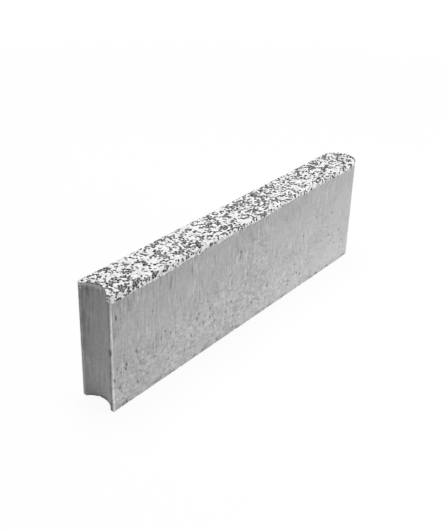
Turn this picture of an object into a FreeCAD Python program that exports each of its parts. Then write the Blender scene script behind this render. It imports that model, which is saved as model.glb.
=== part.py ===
# Concrete edging kerb with a hollow end and a round end
#
# The kerb stands on its underside, as it is stored and as it is laid. +X runs along it from the
# hollow end to the round end, -Y is the side towards the lawn, +Z is up, and the origin is the
# middle of the underside.
# It is cast in one mould from two mixes: grey backing concrete below, and a face layer of black
# and white chippings on top. The upright groove of the hollow end takes the round end of the
# next kerb. Its radius is only a small gap larger, so the joint turns and a row can follow a bend.

import FreeCAD
import Part
import Sketcher

import math
import os

DOCUMENT_NAME = "EdgingKerb"
PARTS_FOLDER = "parts"
SAME_PLACE = 1e-4

# Driving dimensions, in millimetres: name in the sheet, size, meaning
DRIVING_DIMENSIONS = [
    ("length_overall", 1000.0, "lips of the hollow end to the tip of the round end"),
    ("thickness", 100.0, "width of the kerb across the top"),
    ("kerb_height", 300.0, "underside to top"),
    ("face_layer", 16.0, "depth of the face mix"),
    ("lip_width", 11.0, "flat lip on each side of the groove"),
    ("joint_gap", 1.0, "groove radius beyond that of the round end"),
    ("edge_rounding", 3.0, "radius of the top rim, the foot rim and the outer lip edges"),
]


def make_sheet(doc):
    """Spreadsheet with one aliased cell for each driving dimension."""
    sheet = doc.addObject("Spreadsheet::Sheet", "Dimensions")
    for row, (alias, size, meaning) in enumerate(DRIVING_DIMENSIONS, start=1):
        sheet.set(f"A{row}", alias)
        sheet.set(f"B{row}", str(size))
        sheet.set(f"C{row}", meaning)
        sheet.setAlias(f"B{row}", alias)
    doc.recompute()
    return sheet


def origin_plane(body, role):
    """One of the body's own origin planes, found by its role."""
    for feature in body.Origin.OriginFeatures:
        if feature.Role == role:
            return feature
    raise RuntimeError(f"{body.Label} has no {role}")


def draw_plan(body, name, sheet):
    """Plan of the kerb seen from above: two long sides, round end, two lips and the groove."""
    thickness = sheet.get("thickness")
    half = thickness / 2
    hollow_x = -sheet.get("length_overall") / 2
    round_centre_x = sheet.get("length_overall") / 2 - half
    groove_half = half - sheet.get("lip_width")
    groove_radius = half + sheet.get("joint_gap")
    groove_angle = math.asin(groove_half / groove_radius)
    groove_centre_x = hollow_x - groove_radius * math.cos(groove_angle)

    up = FreeCAD.Vector(0, 0, 1)
    front_left = FreeCAD.Vector(hollow_x, -half, 0)
    front_right = FreeCAD.Vector(round_centre_x, -half, 0)
    back_right = FreeCAD.Vector(round_centre_x, half, 0)
    back_left = FreeCAD.Vector(hollow_x, half, 0)
    groove_back = FreeCAD.Vector(hollow_x, groove_half, 0)
    groove_front = FreeCAD.Vector(hollow_x, -groove_half, 0)
    round_circle = Part.Circle(FreeCAD.Vector(round_centre_x, 0, 0), up, half)
    groove_circle = Part.Circle(FreeCAD.Vector(groove_centre_x, 0, 0), up, groove_radius)

    sketch = body.newObject("Sketcher::SketchObject", name)
    sketch.AttachmentSupport = (origin_plane(body, "XY_Plane"), [""])
    sketch.MapMode = "FlatFace"
    front = sketch.addGeometry(Part.LineSegment(front_left, front_right))
    round_end = sketch.addGeometry(Part.ArcOfCircle(round_circle, -math.pi / 2, math.pi / 2))
    back = sketch.addGeometry(Part.LineSegment(back_right, back_left))
    back_lip = sketch.addGeometry(Part.LineSegment(back_left, groove_back))
    groove = sketch.addGeometry(Part.ArcOfCircle(groove_circle, -groove_angle, groove_angle))
    front_lip = sketch.addGeometry(Part.LineSegment(groove_front, front_left))
    constrain_plan(sketch, front, round_end, back, back_lip, groove, front_lip)
    return sketch


def constrain_plan(sketch, front, round_end, back, back_lip, groove, front_lip):
    """Close the plan and bind each of its sizes to the sheet."""
    start, end, centre = 1, 2, 3
    x_axis, origin = -1, -1
    joins = [
        Sketcher.Constraint("Tangent", front, end, round_end, start),
        Sketcher.Constraint("Tangent", round_end, end, back, start),
        Sketcher.Constraint("Coincident", back, end, back_lip, start),
        Sketcher.Constraint("Coincident", back_lip, end, groove, end),
        Sketcher.Constraint("Coincident", groove, start, front_lip, start),
        Sketcher.Constraint("Coincident", front_lip, end, front, start),
        Sketcher.Constraint("Horizontal", front),
        Sketcher.Constraint("Horizontal", back),
        Sketcher.Constraint("Vertical", back_lip),
        Sketcher.Constraint("Vertical", front_lip),
        Sketcher.Constraint("PointOnObject", round_end, centre, x_axis),
        Sketcher.Constraint("PointOnObject", groove, centre, x_axis),
    ]
    for join in joins:
        sketch.addConstraint(join)

    sizes = [
        ("hollow_end_place", ("DistanceX", back_lip, start, origin, start),
         "Dimensions.length_overall / 2"),
        ("round_centre_place", ("DistanceX", origin, start, round_end, centre),
         "(Dimensions.length_overall - Dimensions.thickness) / 2"),
        ("round_radius", ("Radius", round_end), "Dimensions.thickness / 2"),
        ("groove_radius", ("Radius", groove), "Dimensions.thickness / 2 + Dimensions.joint_gap"),
        ("back_lip_width", ("DistanceY", back_lip, end, back_lip, start), "Dimensions.lip_width"),
        ("front_lip_width", ("DistanceY", front_lip, end, front_lip, start), "Dimensions.lip_width"),
    ]
    for name, where, formula in sizes:
        size = sketch.evalExpression(formula)
        index = sketch.addConstraint(Sketcher.Constraint(*where, size))
        sketch.renameConstraint(index, name)
        sketch.setExpression(f"Constraints.{name}", formula)


def lies_at(edge, axis, place):
    """True where the whole edge lies at that place along the axis."""
    box = edge.BoundBox
    low, high = {"x": (box.XMin, box.XMax), "y": (box.YMin, box.YMax), "z": (box.ZMin, box.ZMax)}[axis]
    return abs(low - place) < SAME_PLACE and abs(high - place) < SAME_PLACE


def outer_lip_edges(solid, sheet):
    """The two upright edges where the lips meet the long sides."""
    hollow_x = -sheet.get("length_overall") / 2
    side_y = sheet.get("thickness") / 2
    edges = []
    for number, edge in enumerate(solid.Edges, start=1):
        on_long_side = lies_at(edge, "y", side_y) or lies_at(edge, "y", -side_y)
        if on_long_side and lies_at(edge, "x", hollow_x):
            edges.append(f"Edge{number}")
    return edges


def outline_edges(solid, level):
    """The closed outline of the plan at one height."""
    edges = []
    for number, edge in enumerate(solid.Edges, start=1):
        if lies_at(edge, "z", level):
            edges.append(f"Edge{number}")
    return edges


def cast_layer(doc, sheet, label, depth, rounded_rim):
    """One mix of the kerb: the plan raised by its depth, with one rim and the lips rounded."""
    body = doc.addObject("PartDesign::Body", label)
    body.Label = label
    plan = draw_plan(body, f"{label}_plan", sheet)
    doc.recompute()

    layer = body.newObject("PartDesign::Pad", f"{label}_pad")
    layer.Profile = plan
    layer.setExpression("Length", depth)
    plan.Visibility = False
    doc.recompute()

    rim_level = layer.Length.Value if rounded_rim == "upper" else 0.0
    edges = outline_edges(layer.Shape, rim_level) + outer_lip_edges(layer.Shape, sheet)
    rounding = body.newObject("PartDesign::Fillet", f"{label}_rounding")
    rounding.Base = (layer, edges)
    rounding.setExpression("Radius", "Dimensions.edge_rounding")
    doc.recompute()
    return body


def check_document(doc, bodies):
    """Stop where a feature failed or a sub-part has no valid solid."""
    for thing in doc.Objects:
        if "Invalid" in thing.State or "Error" in thing.State:
            raise RuntimeError(f"{thing.Label} failed: {thing.State}")
    for body in bodies:
        shape = body.Shape
        if shape.isNull() or not shape.isValid() or len(shape.Solids) != 1:
            raise RuntimeError(f"{body.Label} is not one valid solid")


def export_parts(bodies):
    """Write each sub-part to a file with its own name."""
    os.makedirs(PARTS_FOLDER, exist_ok=True)
    for body in bodies:
        body.Shape.exportStep(os.path.join(PARTS_FOLDER, f"{body.Label}.step"))
        box = body.Shape.optimalBoundingBox(False)
        print(f"{body.Label}: {box.XLength:.1f} x {box.YLength:.1f} x {box.ZLength:.1f} mm, "
              f"{body.Shape.Volume / 1e6:.3f} litres")


def build():
    """The whole kerb, as two mixes that meet at a level joint."""
    doc = FreeCAD.newDocument(DOCUMENT_NAME)
    sheet = make_sheet(doc)

    backing_depth = "Dimensions.kerb_height - Dimensions.face_layer"
    backing = cast_layer(doc, sheet, "backing_concrete", backing_depth, "lower")
    face = cast_layer(doc, sheet, "face_layer", "Dimensions.face_layer", "upper")
    face.setExpression("Placement.Base.z", backing_depth)
    doc.recompute()

    bodies = [backing, face]
    check_document(doc, bodies)
    export_parts(bodies)


build()
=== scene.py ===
# Concrete edging kerb with a hollow end, a round end and a speckled face mix on top
#
# Both mixes are built anew as closed meshes in place of the solids of the frame. The grey backing
# is an unrolled wall with draw marks and pinholes. The face mix is a plan of stone chips, folded
# down over the rim. The two meet at a wavy joint. All relief goes inward, so the box stays the same.

import math
import random

import bpy
import numpy as np
from mathutils import Matrix, Vector, noise
from mathutils.geometry import delaunay_2d_cdt
from mathutils.kdtree import KDTree


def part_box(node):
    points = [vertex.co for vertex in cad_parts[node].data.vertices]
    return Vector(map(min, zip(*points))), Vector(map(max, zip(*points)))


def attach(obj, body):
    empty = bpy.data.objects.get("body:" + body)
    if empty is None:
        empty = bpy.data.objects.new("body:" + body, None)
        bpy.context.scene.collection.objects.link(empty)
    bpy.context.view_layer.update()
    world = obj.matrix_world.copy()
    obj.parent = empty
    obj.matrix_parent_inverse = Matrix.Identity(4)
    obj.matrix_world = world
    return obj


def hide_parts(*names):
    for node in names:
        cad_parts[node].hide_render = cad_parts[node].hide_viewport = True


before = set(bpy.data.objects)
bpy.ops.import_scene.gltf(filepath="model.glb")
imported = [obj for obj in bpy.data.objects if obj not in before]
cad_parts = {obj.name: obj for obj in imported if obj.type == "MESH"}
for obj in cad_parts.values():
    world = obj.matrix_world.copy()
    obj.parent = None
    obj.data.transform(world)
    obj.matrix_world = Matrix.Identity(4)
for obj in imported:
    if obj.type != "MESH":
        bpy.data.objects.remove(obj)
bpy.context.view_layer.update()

MM = 0.001

# Sizes from the frame, in metres
backing_low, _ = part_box("backing_concrete")
face_low, face_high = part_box("face_layer")
HOLLOW_X = face_low.x
NOSE_X = face_high.x
HALF_THICKNESS = face_high.y
BASE_Z = backing_low.z
TOP_Z = face_high.z

# Sizes of the profile, as in the part's own dimensions
LIP_WIDTH = 11 * MM
JOINT_GAP = 1 * MM
ARRIS_RADIUS = 3 * MM
GROOVE_HALF = HALF_THICKNESS - LIP_WIDTH

# Upper rim and foot, a little sharper than in the part
RIM_RADIUS = 2 * MM
RIM_ARC = RIM_RADIUS * math.pi / 2

# Spacing of the mesh
OUTLINE_STEP = 2.2 * MM
ARC_STEP = 1.6 * MM
ARRIS_STEP = 0.8 * MM
WALL_ROW = 7 * MM
WALL_SQUASH = 3.0
UNDERSIDE_STEP = 14 * MM
UNDERSIDE_START = 35 * MM
UNDERSIDE_END = 30 * MM
RIM_STEPS = 4
MERGE_DISTANCE = 1e-7
SEAM_REACH = 1e-6

# Fade and step of the finer waves of all noise
FRACTAL_FADE = 0.8
FRACTAL_STEP = 2.0

# Relief of the cast faces
SWELL_DEPTH = 0.5 * MM
SWELL_LENGTH = 90 * MM
DRAW_MARK_DEPTH = 0.14 * MM
DRAW_MARK_LENGTHS = (9 * MM, 9 * MM, 80 * MM)
GRAIN_DEPTH = 0.12 * MM
GRAIN_RELIEF_LENGTH = 5 * MM
UNDERSIDE_DEPTH = 0.4 * MM
UNDERSIDE_LENGTH = 30 * MM

# Bites out of the rim and the foot, which start at the foot a little way from the lips
RIM_BITE_DEPTH = 2.4 * MM
RIM_BITE_HEIGHT = 8 * MM
RIM_BITE_LENGTH = 13 * MM
FOOT_BITE_DEPTH = 3 * MM
FOOT_BITE_HEIGHT = 7 * MM
FOOT_BITE_LENGTHS = (9 * MM, 9 * MM, 12 * MM)
FOOT_BITE_START = 6 * MM

# Wavy joint along the front: place along the kerb in metres, depth below the top in millimetres
FRONT_JOINT = (
    (-0.50, 19), (-0.44, 19), (-0.38, 21), (-0.31, 19), (-0.26, 15), (-0.21, 17), (-0.19, 13),
    (-0.15, 17), (-0.07, 12), (0.02, 16), (0.08, 15), (0.15, 11), (0.23, 14), (0.29, 12),
    (0.38, 14), (0.425, 13),
)
# Where the front's own depths take over, in shares of the half thickness
FRONT_FROM = 0.8
FRONT_BLEND = 0.19

# The joint elsewhere, and its small jags all round
JOINT_DEPTH = 15 * MM
JOINT_WAVE = 3 * MM
JOINT_WAVE_LENGTH = 60 * MM
JOINT_JAG = 2.6 * MM
JOINT_JAG_LENGTH = 9 * MM
JOINT_JAG_FADE = 0.7
JOINT_JAG_LAYER = 5

# Pinholes by chance, with radii in millimetres, and more of them in the low band
PIT_SEED = 41
PIT_TRIES = 1500
LOW_BAND = 0.12
UPPER_PIT_SHARE = 0.14
GROOVE_PIT_SHARE = 0.12
PIT_SEAM_MARGIN = 5 * MM
PIT_EDGE_MARGIN = 4 * MM
SMALLEST_PIT = 0.8
PIT_SPREAD = 2.6
PIT_DEPTH_SHARES = (0.4, 0.8)
PIT_SQUEEZES = (0.8, 1.25)
PIT_SPACING = 1.6
PIT_BOWL = 0.7

# Rings of mesh points round a pit: share of its radius and number of points
PIT_RINGS = ((0.5, 6), (0.85, 8), (1.05, 8))
PIT_CLEARANCE = 1.5
PIT_REACH = 1.4

# Holes that stand out on the front: place along the kerb, height, radius and depth in millimetres
MARKED_PITS = (
    (-457, 106, 3.6, 2.6), (-459, 97, 3.4, 2.4), (-427, 127, 3.0, 2.0), (-374, 204, 2.2, 1.4),
    (-332, 130, 2.8, 1.8), (-315, 116, 2.6, 1.6), (-223, 112, 2.8, 1.8), (-197, 85, 3.2, 2.0),
    (-183, 138, 2.6, 1.6), (48, 180, 2.4, 1.4), (146, 118, 2.4, 1.4), (343, 139, 2.4, 1.4),
)

# One chip out of the arris of the front lip
CHIPPED_LIP_HEIGHT = 0.157
CHIPPED_LIP_DEPTH = 2.4 * MM
CHIPPED_LIP_INSET = 7 * MM
CHIPPED_LIP_REACH = (6 * MM, 7 * MM, 14 * MM)

# Painted shade in the holes and on the lips, painted highlights on the arrises of the hollow end, and a
# soiled foot
# Painted shade inside the holes and the chipped lip, darkest for the bigger holes
PIT_PAINTED_SHADE = 0.6
DARKEST_PIT_RADIUS = 2.8 * MM
PIT_SHADE_GAIN = 1.5
PAINTED_ARRIS_HIGHLIGHT_GAIN = 1.25
ARRIS_HIGHLIGHT_PLACE = 2.2 * MM
ARRIS_HIGHLIGHT_WIDTH = 1.4 * MM
# Painted highlight on the arrises of the hollow end: its gain, place, width and how it varies
ARRIS_HIGHLIGHT_LENGTHS = (9 * MM, 9 * MM, 14 * MM)
ARRIS_HIGHLIGHT_MIDDLE = 0.75
ARRIS_HIGHLIGHT_SWING = 0.25
# Lines of painted shade on the lip faces and in the crease into the groove: distance from the side and
# width
LIP_SHADE_LINES = ((5.5 * MM, 2 * MM), (LIP_WIDTH + 1 * MM, 1.5 * MM))
FRONT_LIP_PAINTED_SHADE = 0.35
BACK_LIP_PAINTED_SHADE = 0.15
LIP_SHADE_REACH = 4 * MM
FOOT_STAIN = 0.6
FOOT_STAIN_HEIGHT = 4 * MM
FOOT_STAIN_WIDTH = 6 * MM
SOIL_LENGTHS = (20 * MM, 20 * MM, 9 * MM)
SOIL_GAIN = 2.5
SOIL_START = 0.2

# Chips of the face mix
CHIP_SEED = 7
CHIP_PITCH = 6.4 * MM
CHIP_JITTER = 0.42
CHIP_REACH = 35 * MM
EXTRA_CHIP_SHARE = 0.3
EXTRA_CHIP_SHIFT = (0.3, 0.6)
CHIP_SIZE_SHARES = (0.78, 0.94)
CHIP_VALLEY_DEPTH = 0.8 * MM
CHIP_SHOULDER_DEPTH = 0.4 * MM
CHIP_SHOULDER_SHARES = (0.6, 1.4)
CHIP_CROWN_DEPTH = 0.05 * MM
CHIP_CROWN_SHARE = 0.6
CHIP_TILT = 0.09
SHORTEST_CHIP_SIDE = 0.5 * MM
CHIP_MARGIN = 0.3 * MM
CHIP_SIDE_CHECKS = (0.25, 0.5, 0.75)
SEED_MARGIN = 0.2 * CHIP_PITCH
VALLEY_MARGIN = 0.5 * MM
BORDER_FADE = 1.5 * MM

# Share of dark stones, which come in drifts and clusters, and fewer on the walls
DARK_SHARE = 0.47
DARK_SHARE_LIMITS = (0.04, 0.95)
DARK_DRIFT = 0.6
DARK_DRIFT_LENGTH = 80 * MM
DARK_DRIFT_LAYER = 3.3
DARK_CLUSTER = 1.2
FAR_END_CLUSTER = 0.4
DARK_CLUSTER_LENGTH = 18 * MM
DARK_CLUSTER_LAYER = 8.1
DARK_ON_WALLS = 0.7

# Tones of the face mix: painted shade below the rim, film of cement, then dark and pale stone from their
# lowest tone up
RIM_SHADE_TONE = 0.003
FILM_FROM = 0.004
COATED_TONE = 0.006
FIRST_CHIP_TONE = 0.01
DARK_TONES = 0.02
DARK_TONE_SPAN = 0.28
PALE_TONES = 0.3
PALE_TONE_SPAN = 0.7

# Groove wall under a film of cement, with a line of painted shade below the rim of its back half
GROOVE_REACH = 30 * MM
FILM_TOP = 0.8 * RIM_RADIUS
RIM_SHADE_TOP = 3 * MM
RIM_SHADE_FOOT = 9 * MM
RIM_SHADE_SHAKE = 0.8
RIM_SHADE_FROM = -0.15 * HALF_THICKNESS

# Texture map of the backing, in metres of surface: strips of the wall, underside, joint face
UV_NAME = "OFBake"
MAP_SIDE = 1.035
WALL_STRIPS = 3
STRIP_HEIGHT = 0.3
STRIP_GAP = 4 * MM
STRIP_LEFT = 12 * MM
STRIP_SQUASH = 0.97
UNDERSIDE_MIDDLE = (0.515, 0.97)
JOINT_MIDDLE = (0.96, 0.45)
JOINT_SCALE = 0.5

# Texture map of the face mix, in metres of surface
FACE_MAP_SIDE = 0.46
FACE_MAP_STRIPS = 3
FACE_STRIP_PITCH = 0.15
FACE_STRIP_LENGTH = 0.35
FACE_STRIP_LEFT = 30 * MM
FACE_STRIP_GAP = 5 * MM

# Wavelengths of the colours, some of them along x, y and z
CLOUD_LENGTHS = (0.12, 0.12, 0.09)
MARK_LENGTHS = (4.5 * MM, 4.5 * MM, 45 * MM)
GRAIN_LENGTH = 3.5 * MM
PATCH_LENGTHS = (0.22, 0.22, 0.16)
FAINT_MARK_LENGTHS = (16 * MM, 16 * MM, 250 * MM)
BLOT_LENGTHS = (11 * MM, 11 * MM, 8 * MM)
SPECK_LENGTHS = (6 * MM, 6 * MM, 5 * MM)
MARKED_LENGTHS = (50 * MM, 50 * MM, 80 * MM)
MOTTLE_LENGTH = 1.6 * MM
STONE_PATCH_LENGTH = 30 * MM

# Ramps of the colour of the concrete: from, to, and the value at either end
# Painted light: the concrete is paler towards the foot and darker towards the top
PAINTED_LIGHT_BY_HEIGHT = (0.0, 0.28, 1.2, 0.89)
WANDER = (0.3, 0.7, -0.08, 0.08)
BLOTS_BY_HEIGHT = (0.08, 0.24, 1.0, 0.25)
BLOTS_IN_GROOVE = (0.0, 1.0, 1.0, 0.3)
MARKS_BY_HEIGHT = (0.0, 0.14, 0.25, 1.0)
MARKS_BY_PLACE = (0.4, 0.6, 0.2, 1.0)
CALM_BY_LENGTH = (0.0, 0.45, 1.0, 0.4)
CLOUD_SWING = (0.3, 0.7, -0.05, 0.05)
GRAIN_SWING = (0.3, 0.7, -0.12, 0.12)
MARK_SWING = (0.3, 0.7, -0.38, 0.38)
FAINT_MARK_SWING = (0.3, 0.7, -0.07, 0.07)
BLOT_SWING = (0.32, 0.68, -0.3, 0.3)
PALE_SPECKS = (0.64, 0.7, 0.0, 0.3)
DARK_SPECKS = (0.3, 0.36, -0.4, 0.0)
CONCRETE_ROUGHNESS = (0.3, 0.7, 0.82, 0.96)
CONCRETE_GREYS = (180, 186)

# Ramps of the face mix, and its screen greys by tone: matrix, painted shade below the rim, film, then
# dark to pale stone
MOTTLE_LEVEL = (0.3, 0.7, 0.9, 1.06)
STONE_PATCH_LEVEL = (0.3, 0.7, 0.95, 1.02)
STONE_ROUGHNESS = (0.3, 0.7, 0.6, 0.85)
STONE_GREYS = (
    (0.0, 216), (0.002, 92), (FILM_FROM, 180), (FIRST_CHIP_TONE, 12), (0.19, 30), (0.26, 62),
    (PALE_TONES, 130), (0.345, 208), (0.42, 240), (0.6, 254),
)

BUMP_STRENGTH = 0.4

# Studio: the floor keeps a share of its shadow near the kerb and is all white farther off
WHITE = (1.0, 1.0, 1.0, 1.0)
FLOOR_RADIUS = 12.0
FLOOR_SIDES = 96
FLOOR_GREY = 210
SHADOW_SHARE = 0.08
SHADOW_REACH = 1.0
WHITE_FROM = 3.0
AMBIENT = 0.2

# Lamps: name, direction from the kerb, distance, side, and share of full light head on
SOFTBOXES = (
    ("top_light", (0.1, 0.15, 1.0), 4.0, 2.4, 0.78),
    ("key_light", (0.52, -0.95, 0.22), 2.6, 1.4, 0.6),
    ("fill_light", (-0.9, 0.6, 0.5), 4.0, 2.0, 0.09),
)

# Camera, fitted to the edges of the kerb in the photograph
SENSOR_WIDTH = 36.0
LENS = 57.893
LENS_SHIFT_Y = -0.09
CAMERA_PLACE = Vector((-1.5211, -1.1475, 1.2422))
CAMERA_RIGHT = Vector((0.63276, -0.77381, 0.02882))
CAMERA_FORWARD = Vector((0.69894, 0.55472, -0.45140))


# Outline of the plan

def shrunk(place, middle, share):
    """Place moved towards the middle, down to this share of its distance."""
    return (middle[0] + (place[0] - middle[0]) * share, middle[1] + (place[1] - middle[1]) * share)


def arc_points(centre_x, centre_y, radius, start, end, step):
    """Points along an arc, both ends included, angles in radians."""
    count = max(2, math.ceil(abs(end - start) * radius / step))
    points = []
    for i in range(count + 1):
        angle = start + (end - start) * i / count
        points.append((centre_x + radius * math.cos(angle), centre_y + radius * math.sin(angle)))
    return points


def line_points(start, end, step):
    """Points along a straight line, both ends included."""
    count = max(1, round(math.dist(start, end) / step))
    return [shrunk(end, start, i / count) for i in range(count + 1)]


def plan_outline():
    """Plan seen from above, anticlockwise from the back of the hollow end."""
    groove_radius = HALF_THICKNESS + JOINT_GAP
    groove_angle = math.asin(GROOVE_HALF / groove_radius)
    groove_x = HOLLOW_X - groove_radius * math.cos(groove_angle)
    arris_x = HOLLOW_X + ARRIS_RADIUS
    arris_y = HALF_THICKNESS - ARRIS_RADIUS
    nose_centre_x = NOSE_X - HALF_THICKNESS
    quarter = math.pi / 2

    stretches = [
        arc_points(arris_x, arris_y, ARRIS_RADIUS, quarter, 2 * quarter, ARRIS_STEP),
        line_points((HOLLOW_X, arris_y), (HOLLOW_X, GROOVE_HALF), ARC_STEP),
        arc_points(groove_x, 0, groove_radius, groove_angle, -groove_angle, ARC_STEP),
        line_points((HOLLOW_X, -GROOVE_HALF), (HOLLOW_X, -arris_y), ARC_STEP),
        arc_points(arris_x, -arris_y, ARRIS_RADIUS, 2 * quarter, 3 * quarter, ARRIS_STEP),
        line_points((arris_x, -HALF_THICKNESS), (nose_centre_x, -HALF_THICKNESS), OUTLINE_STEP),
        arc_points(nose_centre_x, 0, HALF_THICKNESS, -quarter, quarter, ARC_STEP),
        line_points((nose_centre_x, HALF_THICKNESS), (arris_x, HALF_THICKNESS), OUTLINE_STEP),
    ]
    points = []
    for stretch in stretches:
        points.extend(stretch[:-1])
    return np.array(points)


def outward_normals(points):
    """Outward direction at each point of a closed outline, long enough to keep the offset parallel."""
    ahead = np.roll(points, -1, axis=0) - points
    ahead /= np.linalg.norm(ahead, axis=1)[:, None]
    edge_out = np.stack([ahead[:, 1], -ahead[:, 0]], axis=1)
    both = edge_out + np.roll(edge_out, 1, axis=0)
    both /= np.linalg.norm(both, axis=1)[:, None]
    stretch = (both * edge_out).sum(axis=1)
    return both / stretch[:, None]


def path_lengths(points):
    """Distance along the outline of each point, and last the length of the whole."""
    steps = np.linalg.norm(np.roll(points, -1, axis=0) - points, axis=1)
    return np.concatenate([[0], np.cumsum(steps)])


def joint_depth(x, y):
    """Depth of the joint between the two mixes at one place of the outline."""
    wave = noise.noise(Vector((x / JOINT_WAVE_LENGTH, y / JOINT_WAVE_LENGTH, 0)))
    plain = JOINT_DEPTH + JOINT_WAVE * wave
    on_front = (-y - FRONT_FROM * HALF_THICKNESS) / (FRONT_BLEND * HALF_THICKNESS)
    on_front = min(1, max(0, on_front))
    places, depths = zip(*FRONT_JOINT)
    front = float(np.interp(x, places, np.array(depths) * MM))
    jag_place = Vector((x / JOINT_JAG_LENGTH, y / JOINT_JAG_LENGTH, JOINT_JAG_LAYER))
    jag = noise.fractal(jag_place, JOINT_JAG_FADE, FRACTAL_STEP, 2)
    return plain + (front - plain) * on_front + JOINT_JAG * max(-1, min(1, jag))


OUTLINE = plan_outline()
OUTWARD = outward_normals(OUTLINE)
PATH = path_lengths(OUTLINE)
JOINT_HEIGHTS = np.array([TOP_Z - joint_depth(x, y) for x, y in OUTLINE])
WALL_STRIP_LENGTH = PATH[-1] / WALL_STRIPS


def outline_place(x, y):
    """Distance along the outline of the point nearest to x, y."""
    nearest = np.argmin(np.hypot(OUTLINE[:, 0] - x, OUTLINE[:, 1] - y))
    return PATH[nearest]


def outline_at(along):
    """Plan place and outward direction at distances along the outline."""
    closed = np.vstack([OUTLINE, OUTLINE[:1]])
    out = np.vstack([OUTWARD, OUTWARD[:1]])
    place = np.stack([np.interp(along, PATH, closed[:, k]) for k in (0, 1)], axis=1)
    outward = np.stack([np.interp(along, PATH, out[:, k]) for k in (0, 1)], axis=1)
    return place, outward


# Relief

def field(points, lengths, octaves=1, shift=0.0):
    """Smooth noise from -1 to 1 at each point, of one wavelength or of one for each of x, y and z."""
    scaled = points / np.array(lengths) + shift
    values = [noise.fractal(Vector(p), FRACTAL_FADE, FRACTAL_STEP, octaves) for p in scaled]
    return np.clip(np.array(values), -1, 1)


def inward_field(points, lengths, octaves=1, shift=0.0):
    """The same noise from 0 to 1."""
    return 0.5 + 0.5 * field(points, lengths, octaves, shift)


def wall_relief(points, upright):
    """Inward depth of the cast surface. upright is 1 on the walls and 0 on the level faces."""
    swell = SWELL_DEPTH * inward_field(points, SWELL_LENGTH, octaves=2)
    drawn = DRAW_MARK_DEPTH * inward_field(points, DRAW_MARK_LENGTHS, octaves=2, shift=7.3)
    grain = GRAIN_DEPTH * inward_field(points, GRAIN_RELIEF_LENGTH, octaves=2, shift=3.1)
    return swell + grain + drawn * upright


def rim_relief(points):
    """Small bites out of the upper rim, where chips have come loose."""
    height = np.clip(1 - (TOP_Z - points[:, 2]) / RIM_BITE_HEIGHT, 0, 1)
    bites = np.clip(field(points, RIM_BITE_LENGTH, octaves=2, shift=23.0), 0, 1)
    return RIM_BITE_DEPTH * bites * height


def foot_relief(points):
    """Bites out of the lower edge, deepest at the foot and none at the lips."""
    height = np.clip(1 - (points[:, 2] - BASE_Z) / FOOT_BITE_HEIGHT, 0, 1)
    bites = np.clip(field(points, FOOT_BITE_LENGTHS, octaves=3, shift=11.0), 0, 1)
    from_arris = points[:, 0] - HOLLOW_X + HALF_THICKNESS - np.abs(points[:, 1])
    return FOOT_BITE_DEPTH * bites * height * np.clip(from_arris / FOOT_BITE_START - 1, 0, 1)


class Pit:
    """A small round hole in the wall, in the unrolled frame of distance along the outline and height."""

    def __init__(self, along, height, radius, depth, squeeze, tilt):
        self.along = along
        self.height = height
        self.radius = radius
        self.depth = depth
        self.squeeze = squeeze
        self.tilt = tilt

    def ring(self, share, count):
        """Points round the pit at a share of its radius."""
        points = []
        for i in range(count):
            angle = self.tilt + 2 * math.pi * i / count
            points.append((self.along + share * self.radius * self.squeeze * math.cos(angle),
                           self.height + share * self.radius / self.squeeze * math.sin(angle)))
        return points

    def depth_at(self, along, height):
        """Depth of the bowl at these places."""
        across = (along - self.along) / (self.radius * self.squeeze)
        upward = (height - self.height) * self.squeeze / self.radius
        near = np.clip(1 - (across ** 2 + upward ** 2), 0, 1)
        return self.depth * near ** PIT_BOWL

    def clear_of(self, along, height, radius):
        """True where another pit of this place and radius keeps its distance."""
        apart = math.hypot(self.along - along, self.height - height)
        return apart > PIT_SPACING * (self.radius + radius)


def make_pits():
    """The marked pits and many smaller ones, closer together in the lower band, none overlapping."""
    rng = random.Random(PIT_SEED)
    pits = []
    for x, z, radius, depth in MARKED_PITS:
        along = outline_place(x * MM, -HALF_THICKNESS)
        pits.append(Pit(along, z * MM, radius * MM, depth * MM, 1.0, rng.random()))

    groove_start = outline_place(HOLLOW_X, GROOVE_HALF)
    groove_end = outline_place(HOLLOW_X, -GROOVE_HALF)
    lowest = BASE_Z + RIM_RADIUS + PIT_EDGE_MARGIN
    highest = JOINT_HEIGHTS.min() - PIT_EDGE_MARGIN
    for _ in range(PIT_TRIES):
        along = rng.uniform(PIT_SEAM_MARGIN, PATH[-1] - PIT_SEAM_MARGIN)
        height = rng.uniform(lowest, highest)
        keep = 1.0 if height < LOW_BAND else UPPER_PIT_SHARE
        if groove_start < along < groove_end:
            keep *= GROOVE_PIT_SHARE
        radius = (SMALLEST_PIT + PIT_SPREAD * rng.random() ** 3) * MM
        depth = radius * rng.uniform(*PIT_DEPTH_SHARES)
        squeeze = rng.uniform(*PIT_SQUEEZES)
        tilt = rng.random()
        if rng.random() > keep:
            continue
        if all(pit.clear_of(along, height, radius) for pit in pits):
            pits.append(Pit(along, height, radius, depth, squeeze, tilt))
    return pits


def chipped_lip(points):
    """One chip knocked out of the front arris of the hollow end."""
    centre = np.array([HOLLOW_X, -HALF_THICKNESS + CHIPPED_LIP_INSET, CHIPPED_LIP_HEIGHT])
    apart = (points - centre) / np.array(CHIPPED_LIP_REACH)
    near = np.clip(1 - (apart ** 2).sum(axis=1), 0, 1)
    return CHIPPED_LIP_DEPTH * near


def band(values, middle, width):
    """1 at the middle, falling smoothly to nothing over the width."""
    return np.exp(-((values - middle) / width) ** 2)


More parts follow.
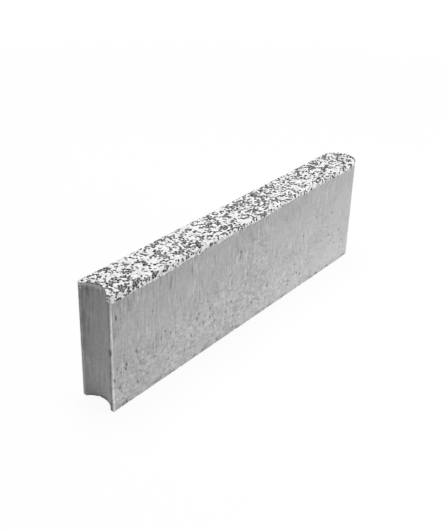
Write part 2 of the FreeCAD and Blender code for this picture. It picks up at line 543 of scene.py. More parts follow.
def wall_painted_light_and_soil(points):
    """Lighter and darker places of the wall: painted highlights on the arrises, painted shade on the lips
    and in the crease into the groove, and a soiled foot.
    """
    from_end = points[:, 0] - HOLLOW_X
    from_side = HALF_THICKNESS - np.abs(points[:, 1])
    # Painted highlight on the arrises of the hollow end, stronger and weaker along them
    highlight_swing = ARRIS_HIGHLIGHT_MIDDLE + ARRIS_HIGHLIGHT_SWING * field(points, ARRIS_HIGHLIGHT_LENGTHS, octaves=2, shift=4.4)
    arris_highlight = band(from_end + from_side, ARRIS_HIGHLIGHT_PLACE, ARRIS_HIGHLIGHT_WIDTH)
    # Painted shade on the lip faces and in the crease into the groove, near the hollow end
    near_end = from_end < LIP_SHADE_REACH
    shade_lines = sum(band(from_side, middle, width) for middle, width in LIP_SHADE_LINES)
    lip_shade = np.where(points[:, 1] < 0, FRONT_LIP_PAINTED_SHADE, BACK_LIP_PAINTED_SHADE)
    soiled = np.clip(SOIL_GAIN * field(points, SOIL_LENGTHS, octaves=3, shift=9.1) - SOIL_START, 0, 1)
    foot = band(points[:, 2], BASE_Z + FOOT_STAIN_HEIGHT, FOOT_STAIN_WIDTH) * soiled
    return 1 + PAINTED_ARRIS_HIGHLIGHT_GAIN * arris_highlight * highlight_swing - lip_shade * shade_lines * near_end - FOOT_STAIN * foot


# Meshes

def runs_forward(corners):
    """True where three numbers rise in a circle, as on a triangle inside an anticlockwise loop."""
    a, b, c = corners
    return a < b < c or b < c < a or c < a < b


def triangulate(points, loop_count, extra_edges=()):
    """Triangles inside the closed loop of the first points: places, triangles and input numbers."""
    edges = [(i, (i + 1) % loop_count) for i in range(loop_count)] + list(extra_edges)
    vectors = [Vector(p) for p in points]
    found, _, triangles, sources, _, _ = delaunay_2d_cdt(vectors, edges, [], 0, MERGE_DISTANCE, True)
    places = np.array([tuple(p) for p in found])
    first = [source[0] if source else -1 for source in sources]
    kept = []
    for triangle in triangles:
        corners = [first[i] for i in triangle]
        on_loop = all(0 <= corner < loop_count for corner in corners)
        if not on_loop or runs_forward(corners):
            kept.append(tuple(triangle))
    return places, kept, first


class MeshParts:
    """Vertices, triangles and map places of one piece, gathered from its surfaces."""

    def __init__(self):
        self.vertices = []
        self.shades = []
        self.triangles = []
        self.map_places = []
        self.tones = []

    def add_vertices(self, points, shade=1.0):
        """Append vertices and return the number of the first."""
        start = len(self.vertices)
        self.vertices.extend(tuple(p) for p in points)
        self.shades.extend([shade] * len(points))
        return start

    def add_triangle(self, corners, map_places, tone=0.0):
        """Append one triangle with its three places on the texture map."""
        self.triangles.append(corners)
        self.map_places.append(map_places)
        self.tones.append(tone)

    def to_object(self, name):
        """Make the mesh object with its texture map, shades, tones and smooth shading but for chips."""
        mesh = bpy.data.meshes.new(name)
        mesh.from_pydata(self.vertices, [], self.triangles)
        texture_map = mesh.uv_layers.new(name=UV_NAME)
        flat = np.array(self.map_places, dtype=np.float32).reshape(-1)
        texture_map.data.foreach_set("uv", flat)
        kept = (("chip_tone", "FACE", self.tones), ("painted_light_and_soil", "POINT", self.shades))
        for label, domain, values in kept:
            layer = mesh.attributes.new(label, "FLOAT", domain)
            layer.data.foreach_set("value", np.array(values, dtype=np.float32))
        mesh.polygons.foreach_set("use_smooth", np.array(self.tones) < FIRST_CHIP_TONE)
        mesh.validate()
        mesh.update()
        piece = bpy.data.objects.new(name, mesh)
        bpy.context.scene.collection.objects.link(piece)
        return piece


# Backing

def wall_mesh_points(pits):
    """Points of the unrolled wall: both edges, the seam columns, the grid and the rings of the pits."""
    low = BASE_Z + RIM_RADIUS
    heights = np.append(JOINT_HEIGHTS, JOINT_HEIGHTS[0])
    foot = [(along, low) for along in PATH]
    top = list(zip(PATH, heights))
    rows = max(2, round((heights[0] - low) / WALL_ROW))
    seam = [low + (heights[0] - low) * i / rows for i in range(1, rows)]
    right = [(PATH[-1], height) for height in seam]
    left = [(0.0, height) for height in reversed(seam)]
    loop = foot + right + list(reversed(top)) + left

    inside = []
    row_count = round((JOINT_HEIGHTS.max() - low) / WALL_ROW)
    for number, along in enumerate(PATH[1:-1], start=1):
        stagger = 0.5 if number % 2 else 0.0
        for row in range(row_count + 1):
            height = low + (row + 0.5 + stagger) * WALL_ROW
            if height < heights[number] - 0.4 * WALL_ROW:
                inside.append((along, height))
    inside = np.array(inside)
    clear = np.ones(len(inside), dtype=bool)
    rings = []
    for pit in pits:
        apart = np.hypot(inside[:, 0] - pit.along, inside[:, 1] - pit.height)
        clear &= apart > PIT_CLEARANCE * pit.radius
        rings.append((pit.along, pit.height))
        for share, count in PIT_RINGS:
            rings.extend(pit.ring(share, count))
    return loop, [tuple(p) for p in inside[clear]] + rings


def wall_strip(along):
    """Number of the strip of the texture map that holds this place along the outline."""
    return min(WALL_STRIPS - 1, int(along / WALL_STRIP_LENGTH))


def wall_map_place(strip, along, height):
    """Place on the texture map of a point of the unrolled wall."""
    return ((STRIP_LEFT + along - strip * WALL_STRIP_LENGTH) / MAP_SIDE,
            (STRIP_GAP + strip * STRIP_HEIGHT + height * STRIP_SQUASH) / MAP_SIDE)


def cap_map_place(x, y):
    """Place of the underside on the texture map, above the strips of the wall."""
    return (UNDERSIDE_MIDDLE[0] + x) / MAP_SIDE, (UNDERSIDE_MIDDLE[1] + y) / MAP_SIDE


def joint_map_place(x, y):
    """Place of the hidden joint face on the texture map, small and upright beside the strips."""
    return ((JOINT_MIDDLE[0] + JOINT_SCALE * y) / MAP_SIDE,
            (JOINT_MIDDLE[1] + JOINT_SCALE * x) / MAP_SIDE)


def carve_wall(points, outward, along, height, pits):
    """Push the points of the wall inward by all of its relief, and return their shades."""
    depth = wall_relief(points, np.ones(len(points))) + foot_relief(points)
    shade = wall_painted_light_and_soil(points)
    for pit in pits:
        near = np.abs(along - pit.along) < PIT_REACH * pit.radius
        pit_depth = pit.depth_at(along[near], height[near])
        depth[near] += pit_depth
        # Painted shade inside the hole, deepest at its bottom
        pit_shade = PIT_PAINTED_SHADE * min(1, pit.radius / DARKEST_PIT_RADIUS)
        shade[near] *= 1 - pit_shade * np.clip(pit_depth / pit.depth * PIT_SHADE_GAIN, 0, 1)
    chipped = chipped_lip(points)
    depth += chipped
    # Painted shade in the hollow of the chipped lip
    shade *= 1 - PIT_PAINTED_SHADE * chipped / CHIPPED_LIP_DEPTH
    points[:, :2] -= outward * depth[:, None]
    return shade


def add_wall(parts, points, shade, along, height, triangles):
    """The wall, welded where its two ends meet. Returns the vertex number of each point."""
    welded = {}
    numbers = []
    for i, point in enumerate(points):
        at_seam = abs(along[i]) < SEAM_REACH or abs(along[i] - PATH[-1]) < SEAM_REACH
        key = round(height[i], 6)
        if at_seam and key in welded:
            numbers.append(welded[key])
            continue
        numbers.append(parts.add_vertices([point], shade[i]))
        if at_seam:
            welded[key] = numbers[-1]
    for triangle in triangles:
        strip = wall_strip(along[list(triangle)].mean())
        map_places = [wall_map_place(strip, along[i], height[i]) for i in triangle]
        parts.add_triangle([numbers[i] for i in triangle], map_places)
    return numbers


def add_foot_quad(parts, corners, column, step):
    """Two triangles between two rings of the rounded foot."""
    left, right = PATH[column], PATH[column + 1]
    strip = wall_strip((left + right) / 2)
    upper = RIM_RADIUS * (1 - (step - 1) / RIM_STEPS)
    lower = RIM_RADIUS * (1 - step / RIM_STEPS)
    edges = ((left, upper), (left, lower), (right, lower), (right, upper))
    map_places = [wall_map_place(strip, along, height) for along, height in edges]
    for order in ((0, 1, 2), (0, 2, 3)):
        parts.add_triangle([corners[i] for i in order], [map_places[i] for i in order])


def add_foot(parts, foot_ring):
    """Rounded foot under the wall. Returns its lowest ring."""
    count = len(OUTLINE)
    ring = foot_ring
    outer = np.array([parts.vertices[i] for i in foot_ring])
    for step in range(1, RIM_STEPS + 1):
        angle = step / RIM_STEPS * math.pi / 2
        points = outer.copy()
        points[:, :2] -= OUTWARD * RIM_RADIUS * (1 - math.cos(angle))
        points[:, 2] = BASE_Z + RIM_RADIUS * (1 - math.sin(angle))
        start = parts.add_vertices(points)
        below = list(range(start, start + count))
        for i in range(count):
            j = (i + 1) % count
            add_foot_quad(parts, (ring[i], below[i], below[j], ring[j]), i, step)
        ring = below
    return ring


def add_underside(parts, ring):
    """Underside within the lowest ring of the foot, a little hollow here and there."""
    places = [parts.vertices[i][:2] for i in ring]
    inset = HALF_THICKNESS - RIM_RADIUS - UNDERSIDE_STEP / 2
    for x in np.arange(HOLLOW_X + UNDERSIDE_START, NOSE_X - UNDERSIDE_END, UNDERSIDE_STEP):
        for y in np.arange(-inset, inset, UNDERSIDE_STEP):
            inside_nose = math.hypot(max(0, x - NOSE_X + HALF_THICKNESS), y) < inset
            if inside_nose:
                places.append((x, y))
    plan, triangles, first = triangulate(places, len(ring))
    points = np.column_stack([plan, np.full(len(plan), BASE_Z)])
    hollow = UNDERSIDE_DEPTH * inward_field(points, UNDERSIDE_LENGTH, octaves=2)
    numbers = []
    for i, point in enumerate(points):
        if 0 <= first[i] < len(ring):
            numbers.append(ring[first[i]])
        else:
            numbers.append(parts.add_vertices([(point[0], point[1], BASE_Z + hollow[i])]))
    for a, b, c in triangles:
        map_places = [cap_map_place(*plan[i]) for i in (a, c, b)]
        parts.add_triangle([numbers[a], numbers[c], numbers[b]], map_places)


def add_joint_face(parts, ring, up):
    """The face where the two mixes meet, hidden between them."""
    rim = [parts.vertices[i] for i in ring]
    plan, triangles, first = triangulate([p[:2] for p in rim], len(rim))
    for a, b, c in triangles:
        order = (a, b, c) if up else (a, c, b)
        map_places = [joint_map_place(*plan[i]) for i in order]
        parts.add_triangle([ring[first[i]] for i in order], map_places)


def build_backing():
    """Grey concrete: unrolled wall, rounded foot, underside and the hidden face at the joint."""
    pits = make_pits()
    loop, inside = wall_mesh_points(pits)
    flat = [(along, height / WALL_SQUASH) for along, height in loop + inside]
    places, triangles, first = triangulate(flat, len(loop))
    along = places[:, 0]
    height = places[:, 1] * WALL_SQUASH
    plan, outward = outline_at(along)
    points = np.column_stack([plan, height])
    shade = carve_wall(points, outward, along, height, pits)

    parts = MeshParts()
    numbers = add_wall(parts, points, shade, along, height, triangles)
    found_as = {source: i for i, source in enumerate(first) if source >= 0}
    foot_ring = [numbers[found_as[i]] for i in range(len(OUTLINE))]
    top_start = len(PATH) + (len(loop) - 2 * len(PATH)) // 2
    top_end = top_start + len(PATH) - 1
    top_ring = [numbers[found_as[top_end - i]] for i in range(len(OUTLINE))]
    add_underside(parts, add_foot(parts, foot_ring))
    add_joint_face(parts, top_ring, up=True)
    return parts, [parts.vertices[i] for i in top_ring]


# Face mix

def voronoi_cells(seeds):
    """Corners of the cell round each seed, from the circumcentres of the triangles between seeds."""
    vectors = [Vector(s) for s in seeds]
    _, _, triangles, sources, _, _ = delaunay_2d_cdt(vectors, [], [], 0, MERGE_DISTANCE, True)
    around = [[] for _ in seeds]
    for triangle in triangles:
        a, b, c = (np.array(seeds[sources[i][0]]) for i in triangle)
        ab, ac = b - a, c - a
        twice_area = 2 * (ab[0] * ac[1] - ab[1] * ac[0])
        centre = a + np.array([ac[1] * (ab @ ab) - ab[1] * (ac @ ac),
                               ab[0] * (ac @ ac) - ac[0] * (ab @ ab)]) / twice_area
        for i in triangle:
            around[sources[i][0]].append(tuple(centre))
    for seed, corners in zip(seeds, around):
        corners.sort(key=lambda c: math.atan2(c[1] - seed[1], c[0] - seed[0]))
    return around


def chip_seeds(rng):
    """Middles of the chips on a shaken grid, with a few more in between for small chips."""
    seeds = []
    columns = int((NOSE_X - HOLLOW_X + 2 * CHIP_REACH) / CHIP_PITCH)
    rows = int(2 * (HALF_THICKNESS + CHIP_REACH) / CHIP_PITCH)
    for i in range(columns):
        for j in range(rows):
            column = i + 0.5 * (j % 2) + rng.uniform(-CHIP_JITTER, CHIP_JITTER)
            row = j + rng.uniform(-CHIP_JITTER, CHIP_JITTER)
            x = HOLLOW_X - CHIP_REACH + column * CHIP_PITCH
            y = -HALF_THICKNESS - CHIP_REACH + row * CHIP_PITCH
            seeds.append((x, y))
            if rng.random() < EXTRA_CHIP_SHARE:
                seeds.append((x + 0.5 * CHIP_PITCH, y + rng.uniform(*EXTRA_CHIP_SHIFT) * CHIP_PITCH))
    return seeds


class Border:
    """A closed outline with its outward directions."""

    def __init__(self, points, outward):
        self.points = points
        self.outward = outward
        self.tree = KDTree(len(points))
        for number, (x, y) in enumerate(points):
            self.tree.insert((x, y, 0), number)
        self.tree.balance()

    def nearest(self, places):
        """For each place: signed distance outside, nearest point of the border, outward direction."""
        places = np.array(places)
        count = len(self.points)
        closest = np.array([self.tree.find((x, y, 0))[1] for x, y in places])
        best = None
        for begin in ((closest - 1) % count, closest):
            end = (begin + 1) % count
            start = self.points[begin]
            along = self.points[end] - start
            share = ((places - start) * along).sum(axis=1) / (along ** 2).sum(axis=1)
            share = np.clip(share, 0, 1)[:, None]
            foot = start + share * along
            direction = self.outward[begin] * (1 - share) + self.outward[end] * share
            apart = np.linalg.norm(places - foot, axis=1)
            if best is None:
                best = [apart, foot, direction]
                continue
            closer = apart < best[0]
            best[0] = np.where(closer, apart, best[0])
            best[1] = np.where(closer[:, None], foot, best[1])
            best[2] = np.where(closer[:, None], direction, best[2])
        distance, foot, direction = best
        side = np.sign(((places - foot) * direction).sum(axis=1))
        return distance * side, foot, direction

    def outside(self, places):
        """Signed distance of each place outside the border."""
        return self.nearest(places)[0]


def fold_down(places, level_part):
    """Fold the flat plan of the face mix over the rim: points in space and their outward normals."""
    distance, foot, direction = level_part.nearest(places)
    outside = np.clip(distance, 0, None)
    angle = np.clip(outside / RIM_RADIUS, 0, math.pi / 2)
    drop = RIM_RADIUS * (1 - np.cos(angle)) + np.clip(outside - RIM_ARC, 0, None)
    level = places.copy()
    over = outside > 0
    level[over] = foot[over] + direction[over] * (RIM_RADIUS * np.sin(angle[over]))[:, None]
    points = np.column_stack([level, TOP_Z - drop])
    normals = np.column_stack([direction * np.sin(angle)[:, None], np.cos(angle)])
    normals[~over] = (0, 0, 1)
    return points, normals


def face_map_strip(x):
    """Number of the strip of the texture map that holds this place along the kerb."""
    return min(FACE_MAP_STRIPS - 1, max(0, int((x - HOLLOW_X) / FACE_STRIP_LENGTH)))


def face_map_place(strip, x, y):
    """Place on the texture map of a point of the flat plan, cut into three strips."""
    return ((FACE_STRIP_LEFT + x - HOLLOW_X - strip * FACE_STRIP_LENGTH) / FACE_MAP_SIDE,
            (FACE_STRIP_GAP + FACE_STRIP_PITCH * (strip + 0.5) + y) / FACE_MAP_SIDE)


class Chip:
    """One stone of the face mix: its middle, corners, tone and how far its crown leans."""

    def __init__(self, middle, corners, rng):
        self.middle = middle
        self.corners = corners
        self.lean = (rng.uniform(-CHIP_TILT, CHIP_TILT), rng.uniform(-CHIP_TILT, CHIP_TILT))
        self.shoulder = CHIP_SHOULDER_DEPTH * rng.uniform(*CHIP_SHOULDER_SHARES)
        self.tone = chip_tone(middle, rng)

    def crown(self):
        """Corners of the flat crown."""
        return [shrunk(corner, self.middle, CHIP_CROWN_SHARE) for corner in self.corners]

    def crown_depth(self, place):
        """Depth of the leaning crown below the level of the surface."""
        lean = self.lean[0] * (place[0] - self.middle[0]) + self.lean[1] * (place[1] - self.middle[1])
        return max(0.0, CHIP_CROWN_DEPTH + lean)

    def crosses(self, border):
        """True where a side runs past the border."""
        sides = zip(self.corners, self.corners[1:] + self.corners[:1])
        places = [shrunk(end, begin, share) for begin, end in sides for share in CHIP_SIDE_CHECKS]
        return border.outside(places).max() > -CHIP_MARGIN / 2


def chip_tone(middle, rng):
    """Tone of a stone, low for dark and high for pale. Dark stones come in drifts and clusters."""
    x, y = middle
    drift_place = Vector((x / DARK_DRIFT_LENGTH, y / DARK_DRIFT_LENGTH, DARK_DRIFT_LAYER))
    drift = DARK_DRIFT * noise.noise(drift_place)
    cluster_place = Vector((x / DARK_CLUSTER_LENGTH, y / DARK_CLUSTER_LENGTH, DARK_CLUSTER_LAYER))
    cluster = noise.noise(cluster_place)
    cluster *= DARK_CLUSTER + FAR_END_CLUSTER * x / NOSE_X
    dark_share = DARK_SHARE * (1 + drift + cluster)
    if abs(y) > HALF_THICKNESS:
        dark_share *= DARK_ON_WALLS
    least, most = DARK_SHARE_LIMITS
    dark_share = min(most, max(least, dark_share))
    chance = rng.random()
    if chance < dark_share:
        return DARK_TONES + DARK_TONE_SPAN * chance / dark_share
    return PALE_TONES + PALE_TONE_SPAN * (chance - dark_share) / (1 - dark_share)


def without_short_sides(corners):
    """Corners of a chip, leaving out each one that lies too near the one before it."""
    kept = []
    for corner in corners:
        if not kept or math.dist(corner, kept[-1]) > SHORTEST_CHIP_SIDE:
            kept.append(corner)
    while len(kept) > 2 and math.dist(kept[0], kept[-1]) < SHORTEST_CHIP_SIDE:
        kept.pop()
    return kept


def make_chips(seeds, cells, border, rng):
    """Chips in the cells inside the border, cut off along it, and the corners of the cells as valleys."""
    seed_distance = border.outside(seeds)
    held = []
    valleys = set()
    for seed, inner, cell in zip(seeds, seed_distance, cells):
        if inner > -SEED_MARGIN or len(cell) < 3:
            continue
        valleys.update((round(x, 7), round(y, 7)) for x, y in cell)
        shrink = rng.uniform(*CHIP_SIZE_SHARES)
        held.append((seed, inner, [shrunk(corner, seed, shrink) for corner in cell]))

    chips = []
    for seed, inner, corners in held:
        kept = []
        for corner, outer in zip(corners, border.outside(corners)):
            share = 1.0 if outer < -CHIP_MARGIN else (-CHIP_MARGIN - inner) / (outer - inner)
            kept.append(shrunk(corner, seed, share))
        kept = without_short_sides(kept)
        chip = Chip(seed, kept, rng)
        if len(kept) > 2 and not chip.crosses(border):
            chips.append(chip)
    return chips, sorted(valleys)


class FacePlan:
    """Flat plan of the face mix: its places, the chip that each belongs to, and the chips' edges."""

    def __init__(self, border):
        self.places = []
        self.owners = []
        self.crowned = []
        self.edges = []
        self.add([tuple(p) for p in border])

    def add(self, places, chip=None, on_crown=False):
        """Append places of the border, of the valleys or of a chip."""
        self.places.extend(places)
        self.owners.extend([chip] * len(places))
        self.crowned.extend([on_crown] * len(places))

    def add_ring(self, ring, chip, on_crown):
        """Append a closed ring of a chip with its edges."""
        start = len(self.places)
        count = len(ring)
        self.add(ring, chip, on_crown)
        self.edges.extend((start + i, start + (i + 1) % count) for i in range(count))


def plan_face_mix(border, rng):
    """Plan with the border, all chips and the valleys between them."""
    seeds = chip_seeds(rng)
    chips, valleys = make_chips(seeds, voronoi_cells(seeds), border, rng)
    layout = FacePlan(border.points)
    for chip in chips:
        layout.add_ring(chip.corners, chip, False)
        layout.add_ring(chip.crown(), chip, True)
    distances = border.outside(valleys)
    layout.add([valley for valley, distance in zip(valleys, distances) if distance < -VALLEY_MARGIN])
    return layout


def in_groove(place):
    """True on the wall of the groove below the rim, where a film of cement covers the chips."""
    below_rim = place[2] < TOP_Z - FILM_TOP
    return below_rim and abs(place[1]) < GROOVE_HALF and place[0] < HOLLOW_X + GROOVE_REACH


def groove_tone(place, rng):
    """Film of cement on the groove, with a line of painted shade below the rim of its back half."""
    below = TOP_Z - place[2] + rng.uniform(-RIM_SHADE_SHAKE, RIM_SHADE_SHAKE) * MM
    # Painted shade in a line below the rim of the back half
    if RIM_SHADE_TOP < below < RIM_SHADE_FOOT and place[1] > RIM_SHADE_FROM:
        return RIM_SHADE_TONE
    return COATED_TONE


def build_face_mix(joint_ring):
    """Face mix: chips of stone over the top, the rim and the upper part of the walls."""
    rng = random.Random(CHIP_SEED)
    inset = OUTLINE - OUTWARD * RIM_RADIUS
    reach = RIM_ARC + (TOP_Z - JOINT_HEIGHTS) - RIM_RADIUS
    edge = inset + OUTWARD * reach[:, None]
    border = Border(edge, outward_normals(edge))
    layout = plan_face_mix(border, rng)
    plan, triangles, first = triangulate(layout.places, len(edge), layout.edges)

    owner = [layout.owners[source] if source >= 0 else None for source in first]
    points, normals = fold_down(plan, Border(inset, OUTWARD))
    fade = np.clip(-border.outside(plan) / BORDER_FADE, 0, 1)
    depth = np.full(len(plan), CHIP_VALLEY_DEPTH)
    for i, chip in enumerate(owner):
        if chip:
            depth[i] = chip.crown_depth(plan[i]) if layout.crowned[first[i]] else chip.shoulder
    upright = 1 - normals[:, 2] ** 2
    base = wall_relief(points, upright) + rim_relief(points) * upright * fade
    points -= normals * (base + depth * fade)[:, None]

    parts = MeshParts()
    ring_numbers = {}
    numbers = []
    for i, point in enumerate(points):
        on_ring = 0 <= first[i] < len(edge)
        numbers.append(parts.add_vertices([joint_ring[first[i]] if on_ring else point]))
        if on_ring:
            ring_numbers[first[i]] = numbers[-1]
    for triangle in triangles:
        chip = owner[triangle[0]]
        whole = chip and all(owner[i] is chip for i in triangle)
        tone = chip.tone if whole else 0.0
        middle = points[list(triangle)].mean(axis=0)
        if in_groove(middle):
            tone = groove_tone(middle, rng)
        strip = face_map_strip(plan[list(triangle), 0].mean())
        map_places = [face_map_place(strip, *plan[i]) for i in triangle]
        parts.add_triangle([numbers[i] for i in triangle], map_places, tone)
    add_joint_face(parts, [ring_numbers[i] for i in range(len(edge))], up=False)
    return parts


# Materials

def grey(level):
    """Neutral linear colour of a grey from 0 to 255 as it looks on the screen."""
    share = level / 255
    linear = ((share + 0.055) / 1.055) ** 2.4 if share > 0.04045 else share / 12.92
    return (linear, linear, linear, 1.0)


class Graph:
    """Node tree of a material or of the world, with short ways to add its nodes."""

    def __init__(self, owner):
        owner.use_nodes = True
        self.nodes = owner.node_tree.nodes
        self.links = owner.node_tree.links
        self.nodes.clear()

    def place(self):
        """Place in the object's own frame."""
        return self.nodes.new("ShaderNodeTexCoord").outputs["Object"]

    def attribute(self, name):
        """Number kept in the mesh."""
        node = self.nodes.new("ShaderNodeAttribute")
        node.attribute_name = name
        return node.outputs["Fac"]

    def noise(self, place, lengths, detail=2.0, roughness=0.5):
        """Noise from 0 to 1, of one wavelength or of one for each of x, y and z."""
        mapping = self.nodes.new("ShaderNodeMapping")
        mapping.inputs["Scale"].default_value = tuple(1 / np.broadcast_to(lengths, 3))
        self.links.new(place, mapping.inputs["Vector"])
        texture = self.nodes.new("ShaderNodeTexNoise")
        texture.inputs["Scale"].default_value = 1.0
        texture.inputs["Detail"].default_value = detail
        texture.inputs["Roughness"].default_value = roughness
        self.links.new(mapping.outputs["Vector"], texture.inputs["Vector"])
        return texture.outputs["Fac"]

    def ramp(self, source, limits):
        """Clamped linear ramp. limits are from, to, and the value at either end."""
        node = self.nodes.new("ShaderNodeMapRange")
        for name, limit in zip(("From Min", "From Max", "To Min", "To Max"), limits):
            node.inputs[name].default_value = limit
        self.links.new(source, node.inputs["Value"])
        return node.outputs["Result"]

    def math(self, operation, first, second=0.0):
        """Math node on two sockets or numbers."""
        node = self.nodes.new("ShaderNodeMath")
        node.operation = operation
        for socket, value in zip(node.inputs, (first, second)):
            if isinstance(value, (int, float)):
                socket.default_value = value
            else:
                self.links.new(value, socket)
        return node.outputs["Value"]

    def product(self, first, second):
        """Product of two sockets."""
        return self.math("MULTIPLY", first, second)

    def scaled(self, colour, factor):
        """Colour times a number."""
        node = self.nodes.new("ShaderNodeVectorMath")
        node.operation = "SCALE"
        self.links.new(colour, node.inputs[0])
        self.links.new(factor, node.inputs["Scale"])
        return node.outputs["Vector"]

    def mixed(self, factor, first, second):
        """Mix of two colours, each a constant or a socket."""
        node = self.nodes.new("ShaderNodeMix")
        node.data_type = "RGBA"
        self.links.new(factor, node.inputs["Factor"])
        for name, colour in (("A", first), ("B", second)):
            if isinstance(colour, tuple):
                node.inputs[name].default_value = colour
            else:
                self.links.new(colour, node.inputs[name])
        return node.outputs["Result"]

    def bump(self, height, distance, normal=None):
        """Bump, on top of another normal where there is one."""
        node = self.nodes.new("ShaderNodeBump")
        node.inputs["Distance"].default_value = distance
        node.inputs["Strength"].default_value = BUMP_STRENGTH
        self.links.new(height, node.inputs["Height"])
        if normal:
            self.links.new(normal, node.inputs["Normal"])
        return node.outputs["Normal"]

    def seen_directly(self):
        """1 for rays that see the surface straight, in a mirror or through glass."""
        path = self.nodes.new("ShaderNodeLightPath")
        seen = self.math("MAXIMUM", path.outputs["Is Camera Ray"], path.outputs["Is Glossy Ray"])
        return self.math("MAXIMUM", seen, path.outputs["Is Transmission Ray"])

    def finish(self, kind, surface):
        """Output node of the tree."""
        output = self.nodes.new(kind)
        self.links.new(surface, output.inputs["Surface"])


def new_material(name):
    """Empty material with its graph and its shader."""
    material = bpy.data.materials.new(name)
    graph = Graph(material)
    shader = graph.nodes.new("ShaderNodeBsdfPrincipled")
    graph.finish("ShaderNodeOutputMaterial", shader.outputs["BSDF"])
    return material, graph, shader


def blots_outside_groove(graph, x, y):
    """1 on the walls and a small share in the groove, which comes cleaner out of the mould."""
    near_end = graph.math("LESS_THAN", x, HOLLOW_X + GROOVE_REACH)
    inner = graph.math("LESS_THAN", graph.math("ABSOLUTE", y), GROOVE_HALF)
    return graph.ramp(graph.product(near_end, inner), BLOTS_IN_GROOVE)


def concrete_colour(graph, place):
    """Colour, draw marks and grains of cast concrete, with more marks above and more blots below, and
    painted light that makes it paler towards the foot.
    """
    clouds = graph.noise(place, CLOUD_LENGTHS, detail=3.0)
    marks = graph.noise(place, MARK_LENGTHS, detail=3.0, roughness=0.6)
    grains = graph.noise(place, GRAIN_LENGTH, detail=4.0, roughness=0.65)
    patches = graph.noise(place, PATCH_LENGTHS, detail=1.0)
    faint_marks = graph.noise(place, FAINT_MARK_LENGTHS)
    blots = graph.noise(place, BLOT_LENGTHS, detail=4.0, roughness=0.7)
    specks = graph.noise(place, SPECK_LENGTHS)
    marked = graph.noise(place, MARKED_LENGTHS)

    split = graph.nodes.new("ShaderNodeSeparateXYZ")
    graph.links.new(place, split.inputs["Vector"])
    x, y, z = split.outputs["X"], split.outputs["Y"], split.outputs["Z"]
    height = graph.math("ADD", z, graph.ramp(patches, WANDER))
    calm = graph.ramp(x, CALM_BY_LENGTH)
    high_share = graph.product(graph.ramp(height, MARKS_BY_HEIGHT), graph.ramp(marked, MARKS_BY_PLACE))
    high_share = graph.product(high_share, calm)
    low_share = graph.product(graph.ramp(height, BLOTS_BY_HEIGHT), calm)
    low_share = graph.product(low_share, blots_outside_groove(graph, x, y))

    # Painted light: paler towards the foot, darker towards the top
    level = graph.ramp(z, PAINTED_LIGHT_BY_HEIGHT)
    shares = [
        graph.ramp(clouds, CLOUD_SWING),
        graph.ramp(grains, GRAIN_SWING),
        graph.product(graph.ramp(marks, MARK_SWING), high_share),
        graph.product(graph.ramp(faint_marks, FAINT_MARK_SWING), high_share),
        graph.product(graph.ramp(blots, BLOT_SWING), low_share),
        graph.product(graph.ramp(specks, PALE_SPECKS), low_share),
        graph.product(graph.ramp(specks, DARK_SPECKS), low_share),
    ]
    for share in shares:
        level = graph.math("ADD", level, share)
    darker, paler = CONCRETE_GREYS
    return graph.scaled(graph.mixed(clouds, grey(darker), grey(paler)), level), marks, grains


def concrete_material():
    """Cast grey concrete, with the painted highlights, painted shade and soiling that are kept in the
    mesh.
    """
    material, graph, shader = new_material("grey_concrete")
    colour, marks, grains = concrete_colour(graph, graph.place())
    colour = graph.scaled(colour, graph.attribute("painted_light_and_soil"))
    graph.links.new(colour, shader.inputs["Base Color"])
    graph.links.new(graph.ramp(grains, CONCRETE_ROUGHNESS), shader.inputs["Roughness"])
    shader.inputs["Specular IOR Level"].default_value = 0.25
    normal = graph.bump(marks, 0.4 * MM, graph.bump(grains, 0.5 * MM))
    graph.links.new(normal, shader.inputs["Normal"])
    return material


def stone_ramp(graph, tone):
    """Colour of each tone of the face mix, in steps."""
    node = graph.nodes.new("ShaderNodeValToRGB")
    node.color_ramp.interpolation = "CONSTANT"
    stops = node.color_ramp.elements
    while len(stops) < len(STONE_GREYS):
        stops.new(1.0)
    for stop, (position, level) in zip(stops, STONE_GREYS):
        stop.position = position
        stop.color = grey(level)
    graph.links.new(tone, node.inputs["Fac"])
    return node.outputs["Color"]


def face_mix_material():
    """Black, grey and white stone chips, told apart by their tone, in a pale grey matrix."""
    material, graph, shader = new_material("speckled_face_mix")
    place = graph.place()
    tone = graph.attribute("chip_tone")
    mottles = graph.noise(place, MOTTLE_LENGTH, detail=4.0, roughness=0.7)
    patches = graph.noise(place, STONE_PATCH_LENGTH)
    level = graph.product(graph.ramp(mottles, MOTTLE_LEVEL), graph.ramp(patches, STONE_PATCH_LEVEL))
    stone = graph.scaled(stone_ramp(graph, tone), level)

    film, _, _ = concrete_colour(graph, place)
    # Tones above the painted shade and below the first stone show the concrete film
    above_rim_shade = graph.math("GREATER_THAN", tone, FILM_FROM)
    below_stone = graph.math("LESS_THAN", tone, FIRST_CHIP_TONE)
    filmed = graph.product(above_rim_shade, below_stone)
    graph.links.new(graph.mixed(filmed, stone, film), shader.inputs["Base Color"])
    graph.links.new(graph.ramp(mottles, STONE_ROUGHNESS), shader.inputs["Roughness"])
    shader.inputs["Specular IOR Level"].default_value = 0.3
    graph.links.new(graph.bump(mottles, 0.3 * MM), shader.inputs["Normal"])
    return material


# Studio

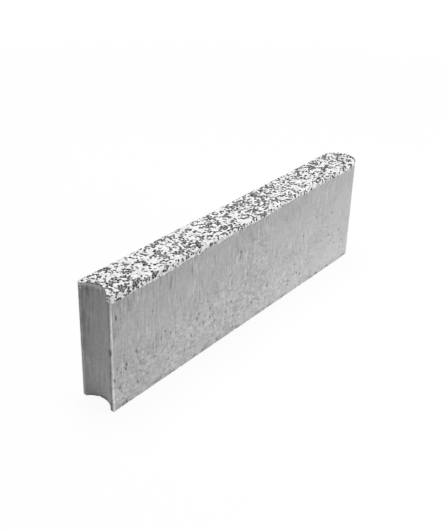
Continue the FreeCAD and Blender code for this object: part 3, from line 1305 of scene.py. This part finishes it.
def floor_material():
    """Pale floor, mostly white to the eye, which keeps a faint shadow round the kerb."""
    material = bpy.data.materials.new("studio_floor")
    graph = Graph(material)
    seen = graph.seen_directly()
    plain = graph.nodes.new("ShaderNodeBsdfDiffuse")
    graph.links.new(graph.mixed(seen, grey(FLOOR_GREY), WHITE), plain.inputs["Color"])
    glow = graph.nodes.new("ShaderNodeEmission")
    glow.inputs["Color"].default_value = WHITE
    glow.inputs["Strength"].default_value = 1.0
    apart = graph.nodes.new("ShaderNodeVectorMath")
    apart.operation = "LENGTH"
    graph.links.new(graph.place(), apart.inputs[0])
    limits = (SHADOW_REACH, WHITE_FROM, 1 - SHADOW_SHARE, 1.0)
    white = graph.ramp(apart.outputs["Value"], limits)
    mix = graph.nodes.new("ShaderNodeMixShader")
    graph.links.new(graph.product(seen, white), mix.inputs["Fac"])
    graph.links.new(plain.outputs["BSDF"], mix.inputs[1])
    graph.links.new(glow.outputs["Emission"], mix.inputs[2])
    graph.finish("ShaderNodeOutputMaterial", mix.outputs["Shader"])
    return material


def build_floor():
    """Wide round floor at the height of the underside."""
    ring = []
    for i in range(FLOOR_SIDES):
        angle = 2 * math.pi * i / FLOOR_SIDES
        ring.append((FLOOR_RADIUS * math.cos(angle), FLOOR_RADIUS * math.sin(angle), BASE_Z))
    mesh = bpy.data.meshes.new("studio_floor")
    mesh.from_pydata(ring, [], [list(range(FLOOR_SIDES))])
    floor = bpy.data.objects.new("studio_floor", mesh)
    floor.data.materials.append(floor_material())
    bpy.context.scene.collection.objects.link(floor)


def build_world():
    """White surroundings for the eye, and an even light of moderate strength for everything else."""
    world = bpy.data.worlds.new("studio")
    graph = Graph(world)
    background = graph.nodes.new("ShaderNodeBackground")
    background.inputs["Color"].default_value = WHITE
    strength = graph.ramp(graph.seen_directly(), (0.0, 1.0, AMBIENT, 1.0))
    graph.links.new(strength, background.inputs["Strength"])
    graph.finish("ShaderNodeOutputWorld", background.outputs["Background"])
    bpy.context.scene.world = world


def add_softbox(name, direction, distance, size, level):
    """Square area lamp aimed at the kerb. level is the share of full light that it gives head on."""
    lamp = bpy.data.lights.new(name, "AREA")
    lamp.shape = "SQUARE"
    lamp.size = size
    lamp.energy = level * math.pi * math.pi * distance ** 2
    towards = Vector(direction).normalized()
    holder = bpy.data.objects.new(name, lamp)
    target = Vector((0, 0, TOP_Z / 2))
    holder.location = target + towards * distance
    holder.rotation_mode = "QUATERNION"
    holder.rotation_quaternion = towards.to_track_quat("Z", "Y")
    bpy.context.scene.collection.objects.link(holder)


def build_lights():
    """Soft light from above, a key from the front right, and a weak fill from the back left."""
    for softbox in SOFTBOXES:
        add_softbox(*softbox)


def build_camera():
    """Camera at the photograph's viewing angle."""
    camera = bpy.data.cameras.new("camera")
    camera.sensor_fit = "AUTO"
    camera.sensor_width = SENSOR_WIDTH
    camera.lens = LENS
    camera.shift_y = LENS_SHIFT_Y
    holder = bpy.data.objects.new("camera", camera)
    forward = CAMERA_FORWARD.normalized()
    right = (CAMERA_RIGHT - forward * CAMERA_RIGHT.dot(forward)).normalized()
    up = right.cross(forward)
    turn = Matrix((right, up, -forward)).transposed()
    holder.matrix_world = Matrix.Translation(CAMERA_PLACE) @ turn.to_4x4()
    bpy.context.scene.collection.objects.link(holder)
    bpy.context.scene.camera = holder


def dress(piece, material, node):
    """Give a piece its material and let it stand for its solid."""
    piece.data.materials.append(material)
    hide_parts(node)
    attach(piece, "root")


backing_parts, joint_ring = build_backing()
backing = backing_parts.to_object("kerb_backing")
face_mix = build_face_mix(joint_ring).to_object("kerb_face_mix")
dress(backing, concrete_material(), "backing_concrete")
dress(face_mix, face_mix_material(), "face_layer")
build_floor()
build_world()
build_lights()
build_camera()
bpy.context.scene.view_settings.view_transform = "Standard"
